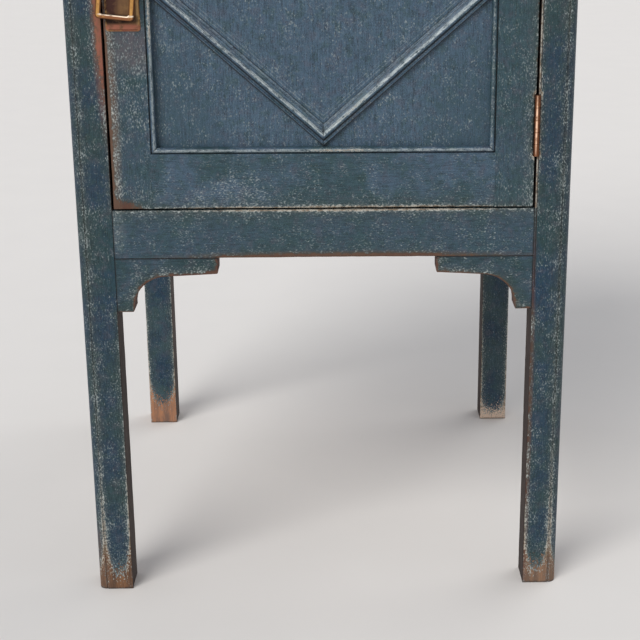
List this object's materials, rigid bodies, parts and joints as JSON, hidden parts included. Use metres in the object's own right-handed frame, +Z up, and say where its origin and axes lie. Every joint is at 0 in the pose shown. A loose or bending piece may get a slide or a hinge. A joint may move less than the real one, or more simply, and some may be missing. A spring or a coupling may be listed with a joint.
{
  "type": "bedside pot cupboard",
  "caption": "Painted bedside pot cupboard on four square legs, with a framed door, lozenge moulding, shaped corner brackets and a brass drop handle.",
  "frame": {"origin": "on the floor, under the middle of the top board", "axes": "+X to the right as seen from the front, +Y from the door to the back, +Z up"},
  "size_m": [0.438, 0.441, 0.754],
  "materials": {
    "carcase_paint": "worn flat slate blue paint over pine",
    "door_paint": "worn flat slate blue paint over pine",
    "bare_wood": "unpainted pine",
    "hinge_brass": "tarnished brass",
    "handle_brass": "rubbed aged brass",
    "steel": "dull zinc plated",
    "catch_casing": "brown moulded casing"
  },
  "bodies": {
    "carcase": {"leg_front_left": "carcase_paint", "leg_front_right": "carcase_paint", "leg_back_left": "carcase_paint", "leg_back_right": "carcase_paint", "front_rail_lower": "carcase_paint", "front_rail_upper": "carcase_paint", "side_rail_lower_left": "carcase_paint", "side_rail_lower_right": "carcase_paint", "side_rail_upper_left": "carcase_paint", "side_rail_upper_right": "carcase_paint", "back_rail_lower": "carcase_paint", "back_rail_upper": "carcase_paint", "side_panel_left": "carcase_paint", "side_panel_right": "carcase_paint", "back_boards": "carcase_paint", "bottom_board": "bare_wood", "bearer_left": "bare_wood", "bearer_right": "bare_wood", "bearer_screws": "steel", "bracket_left": "carcase_paint", "bracket_right": "carcase_paint", "top_board": "carcase_paint", "top_buttons": "bare_wood", "button_screws": "steel", "door_stop": "carcase_paint", "catch_body": "catch_casing", "catch_poles": "steel", "catch_screws": "steel", "hinge_leaf_frame_lower": "hinge_brass", "hinge_leaf_frame_upper": "hinge_brass", "hinge_pin_lower": "steel", "hinge_pin_upper": "steel", "hinge_frame_screws": "hinge_brass"},
    "door": {"door_stile_left": "door_paint", "door_stile_right": "door_paint", "door_rail_lower": "door_paint", "door_rail_upper": "door_paint", "door_panel": "door_paint", "bead_left": "door_paint", "bead_right": "door_paint", "bead_lower": "door_paint", "bead_upper": "door_paint", "lozenge_lower_left": "door_paint", "lozenge_lower_right": "door_paint", "lozenge_upper_left": "door_paint", "lozenge_upper_right": "door_paint", "hinge_leaf_door_lower": "hinge_brass", "hinge_leaf_door_upper": "hinge_brass", "hinge_door_screws": "hinge_brass", "handle_plate": "handle_brass", "handle_posts": "handle_brass", "handle_nuts": "handle_brass", "keeper_plate": "steel", "keeper_screw": "steel"},
    "bail": {"bail": "handle_brass"}
  },
  "joints": [
    {"name": "door_hinge", "type": "hinge", "parent": "carcase", "child": "door", "pos_m": [0.17425, -0.208, 0.52], "axis": [0, 0, 1], "range_deg": [0, 180]},
    {"name": "bail_pivot", "type": "hinge", "parent": "door", "child": "bail", "pos_m": [-0.1578, -0.2125, 0.546], "axis": [-0.9942, 0, 0.108], "range_deg": [-2, 95]}
  ]
}
